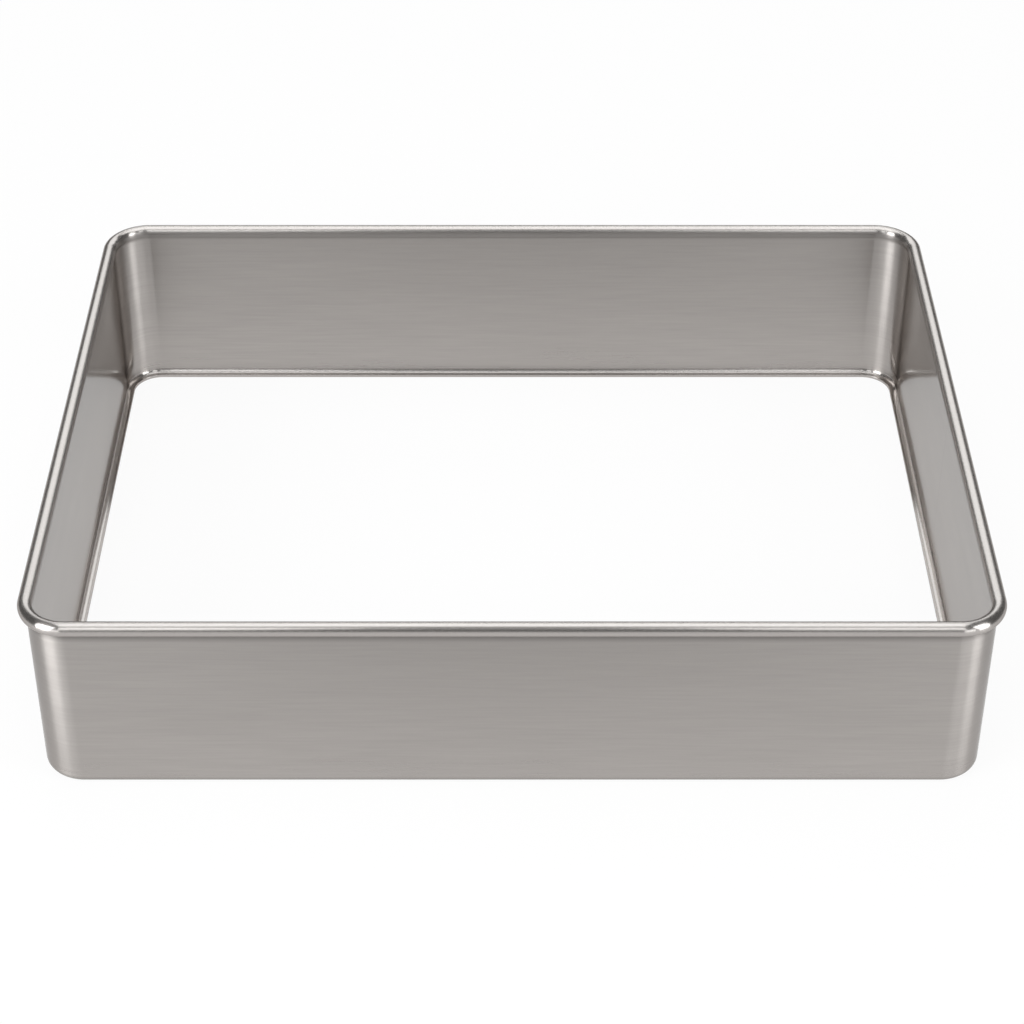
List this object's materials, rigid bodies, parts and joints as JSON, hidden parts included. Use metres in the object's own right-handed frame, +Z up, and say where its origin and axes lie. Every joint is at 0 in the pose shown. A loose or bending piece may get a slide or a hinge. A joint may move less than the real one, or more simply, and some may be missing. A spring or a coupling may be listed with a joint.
{
  "type": "rectangular cake ring",
  "caption": "Rectangular bottomless cake ring of brushed stainless steel with radiused corners, a rolled wire rim and an in-turned lip; shapes layered cakes on a tray.",
  "frame": {"origin": "on the surface that the ring stands on, in the middle of the ring", "axes": "+X along the long sides, +Y from the front wall to the back wall, +Z up from the lip to the rolled rim"},
  "size_m": [0.2804, 0.2204, 0.061],
  "materials": {
    "brushed_band": "satin, brushed along the wall, with a brighter polished rim",
    "ground_weld": "ground flush and brushed to match the wall",
    "rim_wire_steel": "drawn wire, dull"
  },
  "bodies": {
    "root": {"steel_band": "brushed_band", "seam_weld": "ground_weld", "rim_wire": "rim_wire_steel"}
  },
  "joints": []
}
